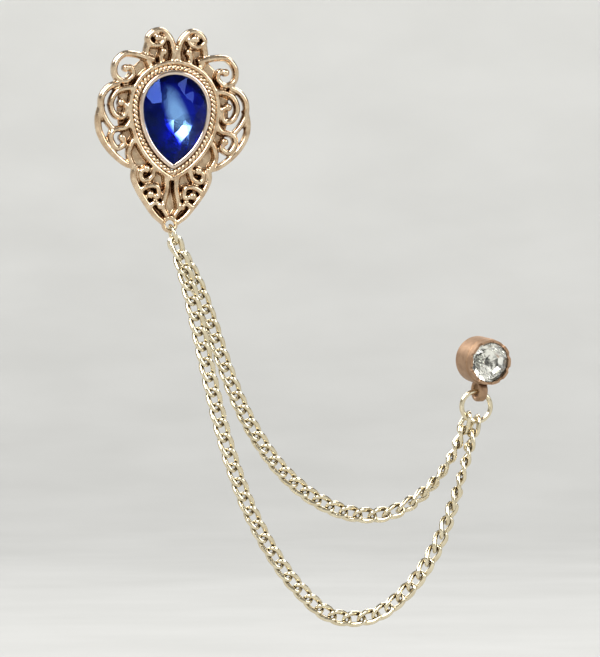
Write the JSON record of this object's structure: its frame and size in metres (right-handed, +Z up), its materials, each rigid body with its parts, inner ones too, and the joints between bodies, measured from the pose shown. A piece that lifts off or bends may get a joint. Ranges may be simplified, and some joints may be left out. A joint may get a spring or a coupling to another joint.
{
  "type": "lapel chain",
  "caption": "Lapel pin set: a pierced scrollwork brooch with a blue pear-cut stone, joined by two hanging curb chains to a small round crystal stud.",
  "frame": {"origin": "where the brooch's post enters the cloth, on the back of its pad", "axes": "+Z up as worn, front faces -Y, +Y runs along the brooch's post into the cloth, +X to the viewer's right"},
  "size_m": [0.0684, 0.0116, 0.0949],
  "materials": {
    "antique_gold": "antiqued cast metal, polished on the high places and dark in the recesses",
    "setting_gold": "polished pale gold",
    "blue_glass": "polished facets, deep blue",
    "chain_gold": "polished pale yellow gold",
    "rose_gold": "satin rose gold",
    "clear_glass": "polished facets, clear",
    "pin_brass": "plain polished gold colour"
  },
  "bodies": {
    "root": {"filigree_frame": "antique_gold", "stone_setting": "setting_gold", "blue_stone": "blue_glass", "brooch_pin": "pin_brass", "brooch_ring": "chain_gold", "chain_upper": "chain_gold", "chain_lower": "chain_gold", "stud_ring": "chain_gold", "stud_cup": "rose_gold", "crystal": "clear_glass", "stud_pin": "pin_brass"}
  },
  "joints": []
}
